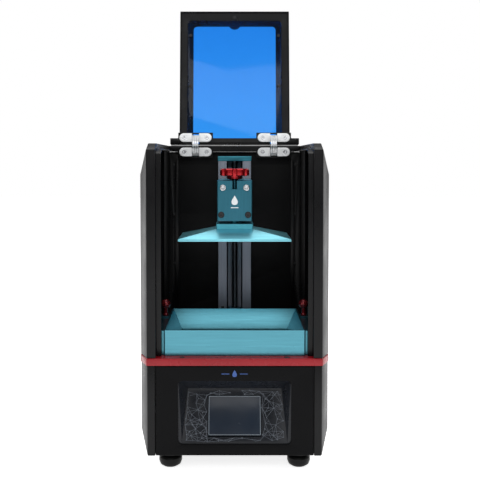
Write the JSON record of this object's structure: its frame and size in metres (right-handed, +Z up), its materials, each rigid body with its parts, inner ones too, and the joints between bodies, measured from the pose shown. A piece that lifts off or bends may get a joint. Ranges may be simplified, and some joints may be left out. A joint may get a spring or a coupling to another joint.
{
  "type": "resin printer",
  "caption": "Desktop resin 3D printer with a folded lid held open by concealed hinges, a resin vat under a build platform on a vertical lead-screw drive, and a sloped touch display.",
  "frame": {"origin": "on the floor at the centre of the body footprint, the open lid left out of account", "axes": "+X to the right seen from the front, +Y towards the back, +Z up"},
  "size_m": [0.22, 0.393, 0.6029],
  "materials": {
    "black_steel": "satin powder coat",
    "red_steel": "gloss powder coat",
    "inner_steel": "satin powder coat",
    "teal_aluminium": "brushed anodised",
    "blue_grey_aluminium": "anodised",
    "satin_zinc": "satin plated",
    "screw_steel": "turned",
    "black_screw": "black oxide",
    "red_anodised": "gloss anodised",
    "blue_window": "translucent tinted sheet",
    "black_plastic": "moulded",
    "display_glass": "bonded touch panel",
    "foot_rubber": "moulded",
    "bronze_nut": "turned",
    "magnet_nickel": "darkened plating",
    "clear_film": "clear film",
    "mask_glass": "glass panel",
    "board_green": "solder resist",
    "lamp_white": "moulded lens",
    "reflector": "bright folded sheet"
  },
  "bodies": {
    "printer_body": {"base_pan": "inner_steel", "board_standoffs": "bronze_nut", "body_screws": "screw_steel", "clamp_posts": "blue_grey_aluminium", "column_cap": "teal_aluminium", "dc_inlet": "black_plastic", "deck_magnets": "magnet_nickel", "deck_plate": "red_steel", "exhaust_fan_frame": "black_plastic", "film_frame": "satin_zinc", "front_panel": "black_steel", "guide_rods": "screw_steel", "hinge_body_cups": "satin_zinc", "lamp_board": "board_green", "lamp_heatsink": "blue_grey_aluminium", "lamp_lens": "lamp_white", "left_lower_casing": "black_steel", "left_upper_casing": "black_steel", "light_hood": "reflector", "limit_switch": "black_plastic", "lower_rear_panel": "black_steel", "main_board": "board_green", "mask_lcd": "mask_glass", "right_lower_casing": "black_steel", "right_upper_casing": "black_steel", "rubber_feet": "foot_rubber", "screen_bezel": "black_plastic", "screw_bearing": "screw_steel", "switch_housing": "black_plastic", "top_crossmember": "inner_steel", "touch_display": "display_glass", "upper_rear_panel": "inner_steel", "usb_port": "satin_zinc", "vat_body": "teal_aluminium", "vat_film": "clear_film", "z_column": "blue_grey_aluminium", "z_motor": "black_screw"},
    "lid": {"lid_shell": "black_steel", "lid_window": "blue_window", "window_studs": "satin_zinc", "lid_pull": "black_plastic", "hinge_lid_cups": "satin_zinc", "hinge_lid_screws": "satin_zinc"},
    "hinge_link_pair": {"hinge_links": "satin_zinc"},
    "carriage": {"carriage_block": "blue_grey_aluminium", "linear_bearings": "screw_steel", "lead_nut": "bronze_nut", "bracket_arm": "teal_aluminium", "bracket_cover": "teal_aluminium", "bracket_screws": "screw_steel", "hanger_block": "teal_aluminium", "platform_neck": "teal_aluminium", "build_plate": "teal_aluminium"},
    "screw_shaft": {"lead_screw": "screw_steel", "shaft_coupler": "blue_grey_aluminium"},
    "knob": {"clamp_knob": "red_anodised"},
    "thumbscrew_left": {"left_thumbscrew": "red_anodised"},
    "thumbscrew_right": {"right_thumbscrew": "red_anodised"},
    "rocker": {"power_rocker": "black_plastic"},
    "fan_rotor": {"exhaust_fan_rotor": "black_plastic"}
  },
  "joints": [
    {"name": "lid_hinge", "type": "hinge", "parent": "printer_body", "child": "lid", "pos_m": [0, 0.084, 0.381], "axis": [1, 0, 0], "range_deg": [0, 187]},
    {"name": "hinge_link_fold", "type": "hinge", "parent": "printer_body", "child": "hinge_link_pair", "pos_m": [0, 0.0879, 0.3771], "axis": [1, 0, 0], "range_deg": [0, 93.5]},
    {"name": "z_slide", "type": "slide", "parent": "printer_body", "child": "carriage", "axis": [0, 0, 1], "range_m": [-0.1264, 0.02]},
    {"name": "lead_screw_spin", "type": "hinge", "parent": "printer_body", "child": "screw_shaft", "pos_m": [0, 0.074, 0.2], "axis": [0, 0, 1], "continuous": true},
    {"name": "knob_spin", "type": "hinge", "parent": "carriage", "child": "knob", "pos_m": [0, -0.025, 0.34], "axis": [0, 0, 1], "continuous": true},
    {"name": "left_thumbscrew_spin", "type": "hinge", "parent": "printer_body", "child": "thumbscrew_left", "pos_m": [-0.0875, -0.004, 0.16], "axis": [0, 0, 1], "continuous": true},
    {"name": "right_thumbscrew_spin", "type": "hinge", "parent": "printer_body", "child": "thumbscrew_right", "pos_m": [0.0875, -0.004, 0.16], "axis": [0, 0, 1], "continuous": true},
    {"name": "exhaust_fan_spin", "type": "hinge", "parent": "printer_body", "child": "fan_rotor", "pos_m": [-0.05, 0.0924, 0.073], "axis": [0, 1, 0], "continuous": true},
    {"name": "power_rocker_tilt", "type": "hinge", "parent": "printer_body", "child": "rocker", "pos_m": [0.062, 0.0972, 0.083], "axis": [1, 0, 0], "range_deg": [-16, 0]}
  ],
  "couplings": [
    {"joint": "hinge_link_fold", "follows": "lid_hinge", "ratio": 0.5},
    {"joint": "lead_screw_spin", "follows": "z_slide", "rad_per_m": 785.4}
  ]
}
